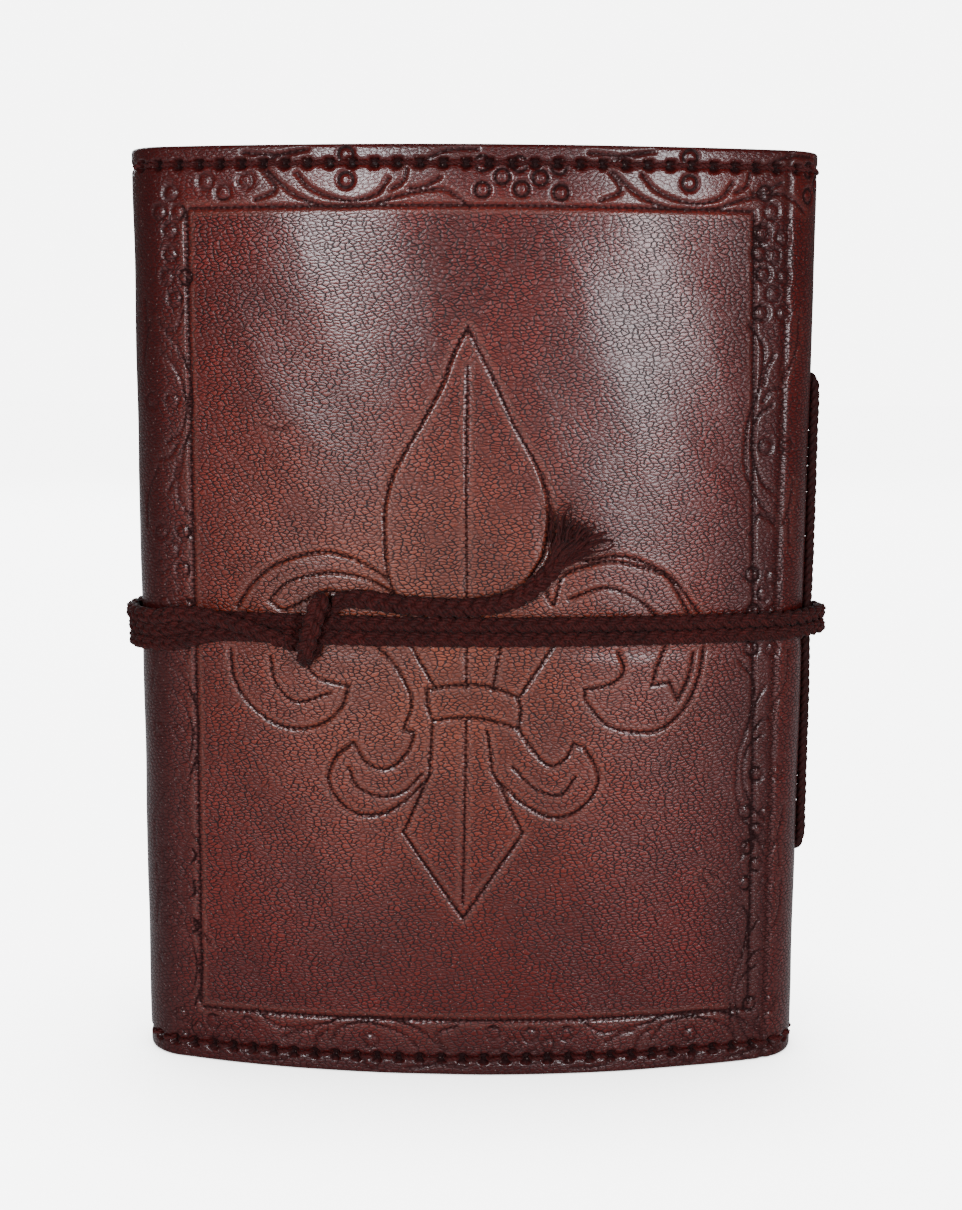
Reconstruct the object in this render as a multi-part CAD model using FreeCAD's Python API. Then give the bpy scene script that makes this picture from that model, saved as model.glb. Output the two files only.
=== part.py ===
"""A hand-bound leather journal, closed and tied, standing on its bottom edge.

The front cover faces -Y, the spine is on the +X side and the covers' free edges meet on the -X side.
Seen from above, the leather follows an oval: two shallow arcs, front and back, joined by a small arc
at each end. Each piece is made about the middle of that oval, and all are moved together at the end
so that the journal stands on the origin. Millimetres, +Z up.
"""

import FreeCAD, Part
import math
import os

# Driving dimensions of the closed journal.
HEIGHT = 178.0
WIDTH = 131.0
THICKNESS = 38.0
END_RADIUS = 10.5
LEATHER = 1.6
LINING = 0.8
FORE_EDGE_GAP = 3.0
HINGE_GAP = 0.15

# Stitching that holds the leather and its lining together.
STITCH_PITCH = 4.2
STITCH_INSET = 3.4
STITCH_THREAD = 0.6
STITCH_HOLE = 1.6
STITCH_SINK = 0.05
STITCH_GROOVE_DEPTH = 0.6
STITCH_GROOVE_HEIGHT = 1.1
STITCH_LEG_SPREAD = 0.36
STITCH_FROM_FORE_EDGE = 2.0
STITCH_FROM_HINGE = 1.5
SPINE_STITCH_FROM_HINGE = 1.4

# Folded page sections, sewn at their folds.
SECTIONS = 6
FOLD_X = 58.0
FOLD_SPACING = 2.2
FOLD_THICKNESS = 1.0
PAGE_INSET = 5.0
PAGE_FORE_EDGE_X = -58.5
PAGE_SHOULDER_X = 45.0
PAGE_CLEARANCE = 0.4
SECTION_GAP = 0.3
SEWING_THREAD = 0.6
SEWING_CLEARANCE = 0.02
SEWING_RUNS = ((15.0, 55.0), (60.0, 118.0), (123.0, 163.0))

# Cord sewn through the spine: a long outside run and a knotted inside run.
BINDING_CORD = 2.2
BINDING_LOW = 41.5
BINDING_HIGH = 136.0
BINDING_BEND = 2.2
BINDING_INSIDE_X = 61.4
BINDING_HOLE = 3.2
BINDING_CLEARANCE = 0.1
KNOT_MIDDLE = 84.0
KNOT_LENGTH = 6.0
KNOT_DIAMETER = 3.4
KNOT_NECK_SHARE = 0.38

# Tie cord: two full turns and a part turn, a hitch, a loose tail and a frayed end.
TIE_CORD = 2.7
TIE_LEVELS = (87.0, 89.8)
TIE_PART_LEVEL = 84.2
TIE_CLEARANCE = 0.15
TIE_START_X = -20.0
HITCH_X = -29.5
HITCH_LENGTH = 5.5
HITCH_BOTTOM = 83.0
HITCH_TOP = 94.4
HITCH_REACH = 5.6
HITCH_CLEARANCE = 0.1
START_KNOT_LENGTH = 6.5
START_KNOT_RADIUS = 2.9
START_KNOT_CLEARANCE = 0.05
START_KNOT_DROP = 1.6
TAIL_CORD = 3.0
# The tail's route: along the journal, out from the leather, and up.
TAIL_ROUTE = (
    (-26.6, 2.1, 93.6),
    (-20.5, 2.3, 94.5),
    (-13.5, 2.0, 93.6),
    (-6.0, 1.9, 93.1),
    (1.5, 1.9, 93.3),
    (8.0, 1.9, 94.8),
    (12.8, 2.0, 98.2),
    (16.2, 2.2, 102.4),
)
FRAY_LENGTH = 10.0
FRAY_WIDTH = 7.0
FRAY_THICKNESS = 3.4
FRAY_CLEARANCE = 0.01

# Modelling allowances.
CUT_OVERSHOOT = 1.0
BEND_SHARE = 0.45
STRAIGHT_WITHIN = 0.01
ELLIPSE_MARGIN = 1e-4

# Sizes worked out from the dimensions above.
HALF_WIDTH = WIDTH / 2
HALF_THICKNESS = THICKNESS / 2
END_CENTRE = HALF_WIDTH - END_RADIUS
SIDE_RADIUS = (END_CENTRE**2 / (HALF_THICKNESS - END_RADIUS) + END_RADIUS + HALF_THICKNESS) / 2
SIDE_CENTRE = SIDE_RADIUS - HALF_THICKNESS
TANGENT = math.acos(END_CENTRE / (SIDE_RADIUS - END_RADIUS))  # where side and end arcs meet, from X
WALL = LEATHER + LINING
UP = FreeCAD.Vector(0, 0, 1)


def vec(x, y, z=0.0):
    return FreeCAD.Vector(x, y, z)


def around(centre_x, centre_y, radius, angle, z=0.0):
    """The point at an angle, in radians from +X, on a level circle."""
    return vec(centre_x + radius * math.cos(angle), centre_y + radius * math.sin(angle), z)


def arc_edge(centre_x, centre_y, radius, start, end, z=0.0):
    """An arc from one angle to another, through the angle half way between them."""
    points = [around(centre_x, centre_y, radius, a, z) for a in (start, (start + end) / 2, end)]
    return Part.Arc(*points).toShape()


def mirrored_to_back(shape):
    return shape.mirror(vec(0, 0), vec(0, 1, 0))


# ---------------------------------------------------------------- outlines of the oval


def closing_line(first, second):
    """A line from where one edge starts to where another starts."""
    return Part.makeLine(first.valueAt(first.FirstParameter), second.valueAt(second.FirstParameter))


def end_line(first, second):
    """A line from where one edge ends to where another ends."""
    return Part.makeLine(first.valueAt(first.LastParameter), second.valueAt(second.LastParameter))


def half_oval_edges(depth, end_angle):
    """The front half of the oval, depth inside the leather's face: from the spine joint, along the
    front arc and round the fore-edge to end_angle, which is measured from -X towards the front."""
    radius = END_RADIUS - depth
    side = arc_edge(0, SIDE_CENTRE, SIDE_RADIUS - depth, -TANGENT, -math.pi + TANGENT)
    end = arc_edge(-END_CENTRE, 0, radius, -math.pi + TANGENT, -math.pi + end_angle)
    return [side, end]


def wall_face(outer_depth, inner_depth):
    """The front cover's wall between two depths, seen from above."""
    outer = half_oval_edges(outer_depth, gap_angle(outer_depth))
    inner = half_oval_edges(inner_depth, gap_angle(inner_depth))
    joins = [closing_line(inner[0], outer[0]), end_line(outer[1], inner[1])]
    return Part.Face(Part.Wire(Part.__sortEdges__(outer + inner + joins)))


def gap_angle(depth):
    """Where a cover stops short of the middle of the fore-edge."""
    return math.asin(FORE_EDGE_GAP / 2 / (END_RADIUS - depth))


def spine_face(outer_depth, inner_depth):
    """The spine's wall between two depths, seen from above."""
    reach = TANGENT - HINGE_GAP / END_RADIUS
    outer = arc_edge(END_CENTRE, 0, END_RADIUS - outer_depth, -reach, reach)
    inner = arc_edge(END_CENTRE, 0, END_RADIUS - inner_depth, -reach, reach)
    ends = [closing_line(outer, inner), end_line(outer, inner)]
    return Part.Face(Part.Wire(Part.__sortEdges__([outer, inner] + ends)))


def side_depth_at(x, depth):
    """How far the front or back face lies from the middle plane, depth inside the leather."""
    return math.sqrt((SIDE_RADIUS - depth) ** 2 - x * x) - SIDE_CENTRE


def front_point(x, out, z):
    """A point out from the front face, measured square to it."""
    angle = math.atan2(-SIDE_CENTRE - side_depth_at(x, 0), x)
    radius = SIDE_RADIUS + out
    return vec(radius * math.cos(angle), SIDE_CENTRE + radius * math.sin(angle), z)


# ---------------------------------------------------------------- tubes


def tube(edges, diameter):
    """A round tube along line and arc edges that follow each other without corners."""
    parts = []
    for edge in edges:
        start = edge.valueAt(edge.FirstParameter)
        along = edge.tangentAt(edge.FirstParameter)
        disc = Part.Face(Part.Wire(Part.makeCircle(diameter / 2, start, along)))
        if isinstance(edge.Curve, Part.Circle):
            turn = math.degrees(edge.LastParameter - edge.FirstParameter)
            parts.append(disc.revolve(edge.Curve.Center, edge.Curve.Axis, turn))
        else:
            parts.append(disc.extrude(edge.valueAt(edge.LastParameter) - start))
    shape = parts[0].multiFuse(parts[1:]).removeSplitter() if len(parts) > 1 else parts[0]
    length = sum(edge.Length for edge in edges)
    ideal = length * math.pi * diameter**2 / 4
    print(f"tube {length:.1f} mm long, volume {shape.Volume / ideal:.4f} of section times length")
    return shape


def rounded_path(points, largest=None):
    """Straight runs through the points, joined by tangent arcs. Returns the edges."""
    edges = []
    start = points[0]
    radii = []
    for before, corner, after in zip(points, points[1:], points[2:]):
        run_in = corner - before
        run_out = after - corner
        half_turn = run_in.getAngle(run_out) / 2
        trim = BEND_SHARE * min(run_in.Length, run_out.Length)
        if largest:
            trim = min(trim, largest * math.tan(half_turn))
        radii.append(trim / math.tan(half_turn))
        arc_start = corner - run_in.normalize() * trim
        arc_end = corner + run_out.normalize() * trim
        inward = (arc_start + arc_end) * 0.5 - corner
        to_centre = math.hypot(radii[-1], trim)
        middle = corner + inward.normalize() * (to_centre - radii[-1])
        edges.append(Part.makeLine(start, arc_start))
        edges.append(Part.Arc(arc_start, middle, arc_end).toShape())
        start = arc_end
    edges.append(Part.makeLine(start, points[-1]))
    print("bend radii", [round(r, 1) for r in radii])
    return edges


# ---------------------------------------------------------------- leather, lining and stitching


def extrude_up(face, bottom=0.0, top=HEIGHT):
    return face.extrude(vec(0, 0, top - bottom)).translated(vec(0, 0, bottom))


def oval_place(distance):
    """A place on the leather's face, by its distance along the oval from the front's middle towards
    the spine: its point, the direction out of the leather and the direction along it."""
    side_half = SIDE_RADIUS * (math.pi / 2 - TANGENT)
    if abs(distance) <= side_half:
        angle = -math.pi / 2 + distance / SIDE_RADIUS
        point = around(0, SIDE_CENTRE, SIDE_RADIUS, angle)
    else:
        beyond = (abs(distance) - side_half) / END_RADIUS
        angle = -TANGENT + beyond if distance > 0 else -math.pi + TANGENT - beyond
        centre = END_CENTRE if distance > 0 else -END_CENTRE
        point = around(centre, 0, END_RADIUS, angle)
    return point, vec(math.cos(angle), math.sin(angle)), vec(-math.sin(angle), math.cos(angle))


def stitch_places(first, last):
    """Hole centres, by distance along the oval, at an even pitch between two ends."""
    count = int((last - first) / STITCH_PITCH)
    start = (first + last - count * STITCH_PITCH) / 2
    return [start + i * STITCH_PITCH for i in range(count + 1)]


def stitch_hole(distance, level):
    point, out, _ = oval_place(distance)
    start = point + out * CUT_OVERSHOOT + vec(0, 0, level)
    return Part.makeCylinder(STITCH_HOLE / 2, WALL + 2 * CUT_OVERSHOOT, start, out * -1)


def stitch(first, second, level):
    """One stitch: up through a hole, along the leather's face and down through the next hole."""
    corners = []
    for distance in (first + STITCH_LEG_SPREAD, second - STITCH_LEG_SPREAD):
        point, out, _ = oval_place(distance)
        face = point - out * STITCH_SINK
        foot = point - out * WALL
        corners.append((foot + vec(0, 0, level), face + vec(0, 0, level)))
    (foot_1, top_1), (foot_2, top_2) = corners
    edges = rounded_path([foot_1, top_1, top_2, foot_2], largest=STITCH_THREAD)
    return tube(edges, STITCH_THREAD)


def stitching(places, level):
    return Part.makeCompound([stitch(a, b, level) for a, b in zip(places, places[1:])])


def punched(wall, places, grooves):
    """A wall with its stitch holes, and the shallow grooves that the stitches lie in."""
    levels = (STITCH_INSET, HEIGHT - STITCH_INSET)
    holes = [stitch_hole(place, level) for place in places for level in levels]
    wall = wall.cut(Part.makeCompound(holes))
    for level in levels:
        half = STITCH_GROOVE_HEIGHT / 2
        for groove in grooves:
            wall = wall.cut(extrude_up(groove, level - half, level + half))
    return wall


def front_cover():
    """Leather, lining and the two rows of stitches of the front cover."""
    side_half = SIDE_RADIUS * (math.pi / 2 - TANGENT)
    round_end = END_RADIUS * (TANGENT - gap_angle(0))
    places = stitch_places(STITCH_FROM_FORE_EDGE - side_half - round_end, side_half - STITCH_FROM_HINGE)
    groove = wall_face(-CUT_OVERSHOOT, STITCH_GROOVE_DEPTH)
    return {
        "leather": punched(extrude_up(wall_face(0, LEATHER)), places, [groove]),
        "lining": punched(extrude_up(wall_face(LEATHER, WALL)), places, []),
        "stitching_bottom": stitching(places, STITCH_INSET),
        "stitching_top": stitching(places, HEIGHT - STITCH_INSET),
    }


def spine():
    """Leather, lining and stitches of the spine, with the two holes for the binding cord."""
    side_half = SIDE_RADIUS * (math.pi / 2 - TANGENT)
    middle = side_half + END_RADIUS * TANGENT
    reach = END_RADIUS * TANGENT - SPINE_STITCH_FROM_HINGE
    places = stitch_places(middle - reach, middle + reach)
    groove = spine_face(-CUT_OVERSHOOT, STITCH_GROOVE_DEPTH)
    cord_holes = [
        Part.makeCylinder(BINDING_HOLE / 2, 3 * WALL, vec(HALF_WIDTH - 2 * WALL, 0, level), vec(1, 0))
        for level in (BINDING_LOW, BINDING_HIGH)
    ]
    leather = punched(extrude_up(spine_face(0, LEATHER)), places, [groove])
    lining = punched(extrude_up(spine_face(LEATHER, WALL)), places, [])
    return {
        "spine_leather": leather.cut(Part.makeCompound(cord_holes)),
        "spine_lining": lining.cut(Part.makeCompound(cord_holes)),
        "spine_stitching_bottom": stitching(places, STITCH_INSET),
        "spine_stitching_top": stitching(places, HEIGHT - STITCH_INSET),
    }


def binding_cord():
    """The cord through the spine, from the knot inside, out, along the outside and back."""
    outside = HALF_WIDTH + BINDING_CLEARANCE + BINDING_CORD / 2
    inside = BINDING_INSIDE_X
    points = [
        vec(inside, 0, KNOT_MIDDLE + KNOT_LENGTH / 2),
        vec(inside, 0, BINDING_HIGH),
        vec(outside, 0, BINDING_HIGH),
        vec(outside, 0, BINDING_LOW),
        vec(inside, 0, BINDING_LOW),
        vec(inside, 0, KNOT_MIDDLE - KNOT_LENGTH / 2),
    ]
    return tube(rounded_path(points, largest=BINDING_BEND), BINDING_CORD)


def knot(middle, along, length, diameter):
    """A barrel-shaped knot: its ends are a little narrower than its middle."""
    half = length / 2
    neck = diameter * KNOT_NECK_SHARE
    profile = [
        Part.makeLine(vec(0, 0, -half), vec(neck, 0, -half)),
        Part.Arc(vec(neck, 0, -half), vec(diameter / 2, 0, 0), vec(neck, 0, half)).toShape(),
        Part.makeLine(vec(neck, 0, half), vec(0, 0, half)),
        Part.makeLine(vec(0, 0, half), vec(0, 0, -half)),
    ]
    barrel = Part.Face(Part.Wire(profile)).revolve(vec(0, 0), UP, 360)
    barrel.Placement = FreeCAD.Placement(middle, FreeCAD.Rotation(UP, along))
    return barrel


# ---------------------------------------------------------------- page sections


def fold_y(index):
    """The level of a section's fold across the spine, counted from the back cover."""
    return ((SECTIONS - 1) / 2 - index) * FOLD_SPACING


def section_side(share, shift):
    """Points along one side of a section, at a share of the text block's half thickness."""
    xs = (PAGE_SHOULDER_X, (PAGE_SHOULDER_X + PAGE_FORE_EDGE_X) / 2, PAGE_FORE_EDGE_X)
    depth = WALL + PAGE_CLEARANCE
    return [vec(x, share * side_depth_at(x, depth) + shift) for x in xs]


def bowed(points):
    """The arc through three points, or a line where they lie straight."""
    if abs(points[1].y - points[0].y) < STRAIGHT_WITHIN:
        return Part.makeLine(points[0], points[2])
    return Part.Arc(*points).toShape()


def page_section(index):
    """One bundle of folded sheets, as a solid that thins towards its fold."""
    towards_back = section_side(1 - 2 * index / SECTIONS, -SECTION_GAP / 2)
    towards_front = section_side(1 - 2 * (index + 1) / SECTIONS, SECTION_GAP / 2)
    half = FOLD_THICKNESS / 2
    y = fold_y(index)
    edges = [
        bowed(towards_back),
        Part.makeLine(towards_back[2], towards_front[2]),
        bowed(towards_front[::-1]),
        Part.makeLine(towards_front[0], vec(FOLD_X, y - half)),
        arc_edge(FOLD_X, y, half, -math.pi / 2, math.pi / 2),
        Part.makeLine(vec(FOLD_X, y + half), towards_back[0]),
    ]
    return extrude_up(Part.Face(Part.Wire(edges)), PAGE_INSET, HEIGHT - PAGE_INSET)


def section_thread(index):
    """Long stitches along the outside of a section's fold."""
    x = FOLD_X + FOLD_THICKNESS / 2 + SEWING_THREAD / 2 + SEWING_CLEARANCE
    runs = [
        Part.makeCylinder(SEWING_THREAD / 2, top - bottom, vec(x, fold_y(index), bottom), UP)
        for bottom, top in SEWING_RUNS
    ]
    return Part.makeCompound(runs)


# ---------------------------------------------------------------- tie cord


def tie_ring_edges(level, start_x=None, end_x=None):
    """A turn of the tie cord about the journal: arcs about the front, back and fore-edge, and at the
    spine a straight run up to the binding cord and an arc over it. With start_x and end_x, only the
    part from the back at start_x, round the fore-edge, to the front at end_x."""
    out = TIE_CLEARANCE + TIE_CORD / 2
    side = SIDE_RADIUS + out
    end = END_RADIUS + out
    fore_edge = arc_edge(-END_CENTRE, 0, end, math.pi - TANGENT, math.pi + TANGENT, level)
    if start_x is not None:
        back_end = math.acos(start_x / side)
        front_end = -math.acos(end_x / side)
        return [
            arc_edge(0, -SIDE_CENTRE, side, back_end, math.pi - TANGENT, level),
            fore_edge,
            arc_edge(0, SIDE_CENTRE, side, -math.pi + TANGENT, front_end, level),
        ]
    cord_x = HALF_WIDTH + BINDING_CLEARANCE + BINDING_CORD / 2
    over = BINDING_CORD / 2 + BINDING_CLEARANCE + out
    lean = math.acos((end - over) / (cord_x - END_CENTRE))
    return [
        fore_edge,
        arc_edge(0, SIDE_CENTRE, side, -math.pi + TANGENT, -TANGENT, level),
        arc_edge(END_CENTRE, 0, end, -TANGENT, -lean, level),
        Part.makeLine(around(END_CENTRE, 0, end, -lean, level), around(cord_x, 0, over, -lean, level)),
        arc_edge(cord_x, 0, over, -lean, lean, level),
        Part.makeLine(around(cord_x, 0, over, lean, level), around(END_CENTRE, 0, end, lean, level)),
        arc_edge(END_CENTRE, 0, end, lean, TANGENT, level),
        arc_edge(0, -SIDE_CENTRE, side, TANGENT, math.pi - TANGENT, level),
    ]


def tie_windings():
    """Two full turns one above the other, and the part turn below them."""
    turns = [tube(tie_ring_edges(level), TIE_CORD) for level in TIE_LEVELS]
    part_end = HITCH_X - HITCH_LENGTH / 2 - HITCH_CLEARANCE
    part_turn = tie_ring_edges(TIE_PART_LEVEL, TIE_START_X, part_end)
    return Part.makeCompound(turns + [tube(part_turn, TIE_CORD)])


def tie_hitch():
    """The hitch: the cord passes down over the two turns, in front of the front cover. It is a half
    egg about the turns, open where they and the leather are."""
    middle = (HITCH_BOTTOM + HITCH_TOP) / 2
    foot = front_point(HITCH_X, 0, middle)
    stretch = FreeCAD.Matrix()
    stretch.scale(HITCH_LENGTH, HITCH_REACH, (HITCH_TOP - HITCH_BOTTOM) / 2)
    egg = Part.makeSphere(1.0).transformGeometry(stretch).translated(foot)
    corner = vec(HITCH_X - HITCH_LENGTH / 2, foot.y - THICKNESS / 2, middle - HEIGHT / 2)
    slab = Part.makeBox(HITCH_LENGTH, THICKNESS, HEIGHT, corner)
    lowest, highest = TIE_LEVELS
    out = TIE_CLEARANCE + TIE_CORD / 2
    taken = [
        Part.makeCylinder(SIDE_RADIUS + TIE_CLEARANCE, HEIGHT, vec(0, SIDE_CENTRE)),
        Part.makeCylinder(SIDE_RADIUS + out, highest - lowest, vec(0, SIDE_CENTRE, lowest)),
    ]
    for level in TIE_LEVELS:
        path = arc_edge(0, SIDE_CENTRE, SIDE_RADIUS + out, -math.pi + TANGENT, -TANGENT, level)
        taken.append(tube([path], TIE_CORD + 2 * TIE_CLEARANCE))
    return egg.common(slab).cut(Part.makeCompound(taken))


def tie_start_knot():
    """The knot that starts the cord, below the turns on the back."""
    out = TIE_CLEARANCE + TIE_CORD / 2
    x = TIE_START_X + START_KNOT_LENGTH / 2 + START_KNOT_CLEARANCE
    angle = math.acos(x / (SIDE_RADIUS + out))
    radius = SIDE_RADIUS + TIE_CLEARANCE + START_KNOT_RADIUS
    middle = around(0, -SIDE_CENTRE, radius, angle, TIE_PART_LEVEL - START_KNOT_DROP)
    along = vec(-math.sin(angle), math.cos(angle))
    return knot(middle, along, START_KNOT_LENGTH, 2 * START_KNOT_RADIUS)


def tail_points():
    return [front_point(*place) for place in TAIL_ROUTE]


def tie_tail():
    return tube(rounded_path(tail_points()), TAIL_CORD)


def tie_frayed_end():
    """The loosened strands at the end of the tail, a flattened cone that opens outwards."""
    points = tail_points()
    start = points[-1]
    along = (points[-1] - points[-2]).normalize()
    out = vec(start.x, start.y - SIDE_CENTRE).normalize()
    across = along.cross(out).normalize()
    out = across.cross(along).normalize()
    sections = []
    ends = ((0.0, TAIL_CORD, TAIL_CORD), (FRAY_LENGTH, FRAY_WIDTH, FRAY_THICKNESS))
    for distance, width, thickness in ends:
        centre = start + along * (distance + FRAY_CLEARANCE) + out * ((thickness - TAIL_CORD) / 2)
        long_axis = centre + across * (width / 2 + ELLIPSE_MARGIN)
        short_axis = centre + out * (thickness / 2)
        sections.append(Part.Wire(Part.Ellipse(long_axis, short_axis, centre).toShape()))
    return Part.makeLoft(sections, True, True)


# ---------------------------------------------------------------- the journal


def cover_nodes():
    front = front_cover()
    nodes = {f"front_cover_{piece}": shape for piece, shape in front.items()}
    nodes.update({f"back_cover_{piece}": mirrored_to_back(shape) for piece, shape in front.items()})
    return nodes


def page_nodes():
    nodes = {}
    for index in range(SECTIONS):
        nodes[f"page_section_{index + 1}"] = page_section(index)
        nodes[f"section_thread_{index + 1}"] = section_thread(index)
    return nodes


def tie_cord_nodes():
    return {
        "tie_cord_windings": tie_windings(),
        "tie_cord_hitch": tie_hitch(),
        "tie_cord_tail": tie_tail(),
        "tie_cord_frayed_end": tie_frayed_end(),
        "tie_cord_start_knot": tie_start_knot(),
    }


def main():
    body = cover_nodes()
    body.update(spine())
    body.update(page_nodes())
    body["binding_cord"] = binding_cord()
    body["binding_cord_knot"] = knot(
        vec(BINDING_INSIDE_X, 0, KNOT_MIDDLE), UP, KNOT_LENGTH, KNOT_DIAMETER
    )
    box = Part.makeCompound(list(body.values())).BoundBox
    shift = vec(-(box.XMin + box.XMax) / 2, -(box.YMin + box.YMax) / 2, -box.ZMin)
    print(f"moved by {shift.x:.4f}, {shift.y:.4f}, {shift.z:.4f}")
    print(f"size {box.XLength:.2f} x {box.YLength:.2f} x {box.ZLength:.2f}")
    hinge = around(END_CENTRE, 0, END_RADIUS, TANGENT) + shift
    print(f"cover hinges at {hinge.x:.4f}, +-{hinge.y:.4f}; folds at {FOLD_X + shift.x:.4f}")
    body.update(tie_cord_nodes())
    os.makedirs("parts", exist_ok=True)
    for name, shape in body.items():
        shape = shape.translated(shift)
        print(f"{name}: {len(shape.Solids)} solids, {shape.Volume:.1f} mm3, valid {shape.isValid()}")
        shape.exportStep(f"parts/{name}.step")


main()
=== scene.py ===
"""Looks of a hand-bound leather journal: tooled leather, stitches, deckled leaves, a tie cord."""

import math

import bpy
import numpy as np
from mathutils import Matrix, Vector


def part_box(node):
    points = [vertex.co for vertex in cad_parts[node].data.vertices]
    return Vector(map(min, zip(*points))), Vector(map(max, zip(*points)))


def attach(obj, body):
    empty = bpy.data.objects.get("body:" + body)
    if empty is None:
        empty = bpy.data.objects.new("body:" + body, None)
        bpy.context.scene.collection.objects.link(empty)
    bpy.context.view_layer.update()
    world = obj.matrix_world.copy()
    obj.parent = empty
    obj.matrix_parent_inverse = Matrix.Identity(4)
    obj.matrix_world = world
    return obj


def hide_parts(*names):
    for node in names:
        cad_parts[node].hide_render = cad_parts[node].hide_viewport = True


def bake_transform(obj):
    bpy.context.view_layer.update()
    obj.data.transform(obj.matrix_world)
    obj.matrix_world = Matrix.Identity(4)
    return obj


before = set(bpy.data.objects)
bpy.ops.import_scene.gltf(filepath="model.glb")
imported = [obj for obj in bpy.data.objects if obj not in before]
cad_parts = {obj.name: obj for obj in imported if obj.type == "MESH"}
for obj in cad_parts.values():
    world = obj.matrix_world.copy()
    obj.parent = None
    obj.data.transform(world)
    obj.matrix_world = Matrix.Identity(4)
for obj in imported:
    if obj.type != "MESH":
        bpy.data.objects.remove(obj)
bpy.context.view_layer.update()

MM = 0.001
RNG = np.random.default_rng(7)

# Sizes of the journal, in millimetres.
HEIGHT = 178.0
WIDTH = 131.0
THICKNESS = 38.0
END_RADIUS = 10.5
LEATHER = 1.6
WALL = 2.4
FORE_EDGE_GAP = 3.0
STITCH_INSET = 3.4
STITCH_PITCH = 4.2
STITCH_HOLE = 1.6
END_CENTRE = WIDTH / 2 - END_RADIUS
SIDE_RADIUS = (END_CENTRE**2 / (THICKNESS / 2 - END_RADIUS) + END_RADIUS + THICKNESS / 2) / 2
SIDE_CENTRE = SIDE_RADIUS - THICKNESS / 2
TANGENT = math.acos(END_CENTRE / (SIDE_RADIUS - END_RADIUS))
SIDE_HALF = SIDE_RADIUS * (math.pi / 2 - TANGENT)
ROUND_END = END_RADIUS * TANGENT
GAP_ANGLE = math.asin(FORE_EDGE_GAP / 2 / END_RADIUS)

# The sides of the leather's oval, as the sign of y.
FRONT = -1
BACK = 1

# Distances along the leather from the middle of a cover: its fore-edge, and the hide's seam, which
# lies on the spine beside the back cover.
FORE_EDGE = -SIDE_HALF - END_RADIUS * (TANGENT - GAP_ANGLE)
SEAM = SIDE_HALF + 2 * ROUND_END - 5.0
SEAM_FROM_BACK = 2 * (SIDE_HALF + ROUND_END) - SEAM

# The levels at which the tie cord goes round.
LEVELS = (84.2, 87.0, 89.8)

# The middle of the oval, in metres, from the frame.
CENTRE_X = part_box("spine_leather")[1][0] - WIDTH / 2 * MM
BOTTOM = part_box("spine_leather")[0][2]


def oval(s, out, side):
    """Points on the leather in millimetres, by the distance s along the face from the middle of a
    cover towards the spine, and the distance out of the face."""
    a = np.clip(s / SIDE_RADIUS, -SIDE_HALF / SIDE_RADIUS, SIDE_HALF / SIDE_RADIUS)
    angle = a + (s - a * SIDE_RADIUS) / END_RADIUS
    on_end = np.abs(s) > SIDE_HALF
    cx = np.where(on_end, np.sign(s) * END_CENTRE, 0.0)
    cy = np.where(on_end, 0.0, SIDE_CENTRE)
    radius = np.where(on_end, END_RADIUS, SIDE_RADIUS) + out
    return cx + radius * np.sin(angle), -side * (cy - radius * np.cos(angle))


def oval_point(s, out, z, side):
    """One place on the oval as (x, y, z)."""
    x, y = oval(np.array([float(s)]), np.array([float(out)]), side)
    return (float(x[0]), float(y[0]), z)


def along_face(x):
    """The distance along a cover's face from its middle, at x."""
    return SIDE_RADIUS * math.asin(x / SIDE_RADIUS)


def to_world(x, y, z):
    return np.stack([CENTRE_X + x * MM, y * MM, BOTTOM + z * MM], -1)


def unrolled(points):
    """Places on the front as (s, z), from (x, z)."""
    p = np.array(points, float)
    p[:, 0] = SIDE_RADIUS * np.arcsin(p[:, 0] / SIDE_RADIUS)
    return p


def smooth(points, step=0.5):
    """A Catmull-Rom curve through the points."""
    p = np.array(points, float)
    ext = np.vstack([2 * p[0] - p[1], p, 2 * p[-1] - p[-2]])
    out = []
    for i in range(1, len(ext) - 2):
        n = max(2, int(np.linalg.norm(ext[i + 1] - ext[i]) / step))
        t = np.linspace(0, 1, n, endpoint=False)[:, None]
        a, b, c, d = ext[i - 1], ext[i], ext[i + 1], ext[i + 2]
        square = (2 * a - 5 * b + 4 * c - d) * t**2
        cube = (3 * b - a - 3 * c + d) * t**3
        out.append(0.5 * (2 * b + (c - a) * t + square + cube))
    out.append(ext[-2][None])
    return np.vstack(out)


def new_object(name, places, faces, smooth_shaded=True):
    """A mesh object from places in millimetres about the oval's middle."""
    mesh = bpy.data.meshes.new(name)
    mesh.from_pydata(to_world(*np.array(places).T).tolist(), [], faces.tolist())
    mesh.update()
    mesh.polygons.foreach_set("use_smooth", [smooth_shaded] * len(mesh.polygons))
    obj = bpy.data.objects.new(name, mesh)
    bpy.context.scene.collection.objects.link(obj)
    return obj


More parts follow.
